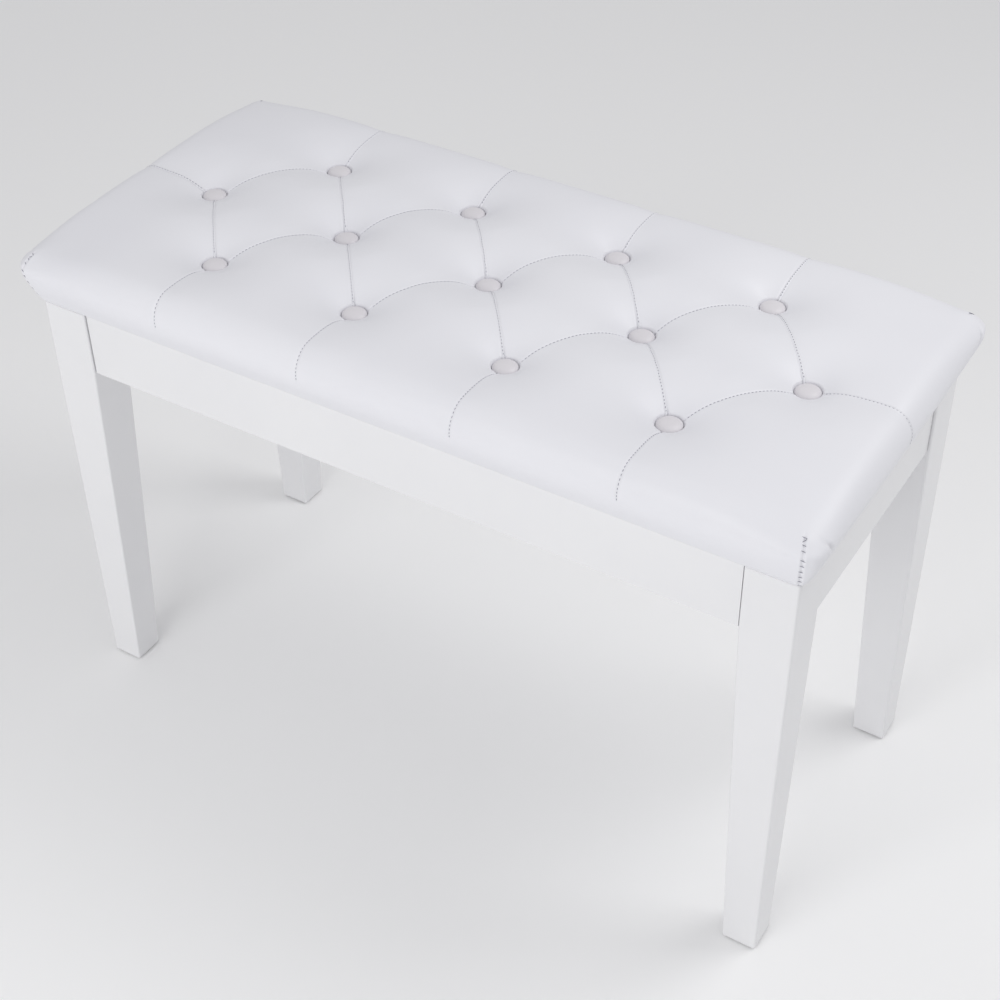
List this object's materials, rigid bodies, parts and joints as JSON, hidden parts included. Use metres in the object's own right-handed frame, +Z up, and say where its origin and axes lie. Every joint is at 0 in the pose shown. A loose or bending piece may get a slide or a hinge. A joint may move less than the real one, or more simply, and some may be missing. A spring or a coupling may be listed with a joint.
{
  "type": "piano bench",
  "caption": "Oblong piano bench: button-tufted padded seat hinged at the rear over a shallow music compartment, deep aprons and square tapered legs.",
  "frame": {"origin": "on the floor, under the middle of the seat", "axes": "+X along the length to the right of someone facing the bench from the front, +Y to the rear where the hinges are, +Z up"},
  "size_m": [0.76, 0.35, 0.5],
  "materials": {
    "white_lacquer": "satin",
    "white_leatherette": "satin",
    "corner_block_wood": "matte",
    "white_panel": "satin",
    "plywood": "matte",
    "foam": "matte",
    "dust_cloth": "matte",
    "twine": "matte",
    "foot_plastic": "matte",
    "bumper_rubber": "matte",
    "hinge_steel": "satin",
    "zinc_steel": "satin"
  },
  "bodies": {
    "frame": {"apron_back": "white_lacquer", "apron_front": "white_lacquer", "apron_left": "white_lacquer", "apron_right": "white_lacquer", "block_screws": "zinc_steel", "bottom_panel": "white_panel", "corner_block_back_left": "corner_block_wood", "corner_block_back_right": "corner_block_wood", "corner_block_front_left": "corner_block_wood", "corner_block_front_right": "corner_block_wood", "foot_pads": "foot_plastic", "hinge_leaf_frame_left": "hinge_steel", "hinge_leaf_frame_right": "hinge_steel", "hinge_pin_left": "hinge_steel", "hinge_pin_right": "hinge_steel", "hinge_screws_frame": "hinge_steel", "leg_back_left": "white_lacquer", "leg_back_right": "white_lacquer", "leg_bolts": "zinc_steel", "leg_front_left": "white_lacquer", "leg_front_right": "white_lacquer", "leg_nuts": "zinc_steel", "leg_washers": "zinc_steel", "lid_bumpers": "bumper_rubber", "stay_pivot_pin_left": "zinc_steel", "stay_pivot_pin_right": "zinc_steel", "stay_plate_left": "zinc_steel", "stay_plate_right": "zinc_steel", "stay_plate_screws": "zinc_steel"},
    "lid": {"button_01": "white_leatherette", "button_02": "white_leatherette", "button_03": "white_leatherette", "button_04": "white_leatherette", "button_05": "white_leatherette", "button_06": "white_leatherette", "button_07": "white_leatherette", "button_08": "white_leatherette", "button_09": "white_leatherette", "button_10": "white_leatherette", "button_11": "white_leatherette", "button_12": "white_leatherette", "button_13": "white_leatherette", "button_twine": "twine", "dust_cover": "dust_cloth", "hinge_leaf_lid_left": "hinge_steel", "hinge_leaf_lid_right": "hinge_steel", "hinge_screws_lid": "hinge_steel", "seat_board": "plywood", "seat_cover": "white_leatherette", "seat_foam": "foam", "staples": "zinc_steel", "stay_track_left": "zinc_steel", "stay_track_right": "zinc_steel", "stay_track_screws": "zinc_steel"},
    "stay_arm_left": {"stay_arm_left": "zinc_steel", "stay_slide_pin_left": "zinc_steel"},
    "stay_arm_right": {"stay_arm_right": "zinc_steel", "stay_slide_pin_right": "zinc_steel"}
  },
  "joints": [
    {"name": "lid_hinge", "type": "hinge", "parent": "frame", "child": "lid", "pos_m": [0, 0.1623, 0.4276], "axis": [-1, 0, 0], "range_deg": [0, 74]},
    {"name": "stay_pivot_left", "type": "hinge", "parent": "frame", "child": "stay_arm_left", "pos_m": [-0.3405, 0.03062, 0.41839], "axis": [-1, 0, 0], "range_deg": [0, 148]},
    {"name": "stay_pivot_right", "type": "hinge", "parent": "frame", "child": "stay_arm_right", "pos_m": [0.3405, 0.03062, 0.41839], "axis": [-1, 0, 0], "range_deg": [0, 148]}
  ],
  "couplings": [
    {"joint": "stay_pivot_left", "follows": "lid_hinge", "ratio": 2},
    {"joint": "stay_pivot_right", "follows": "lid_hinge", "ratio": 2}
  ]
}
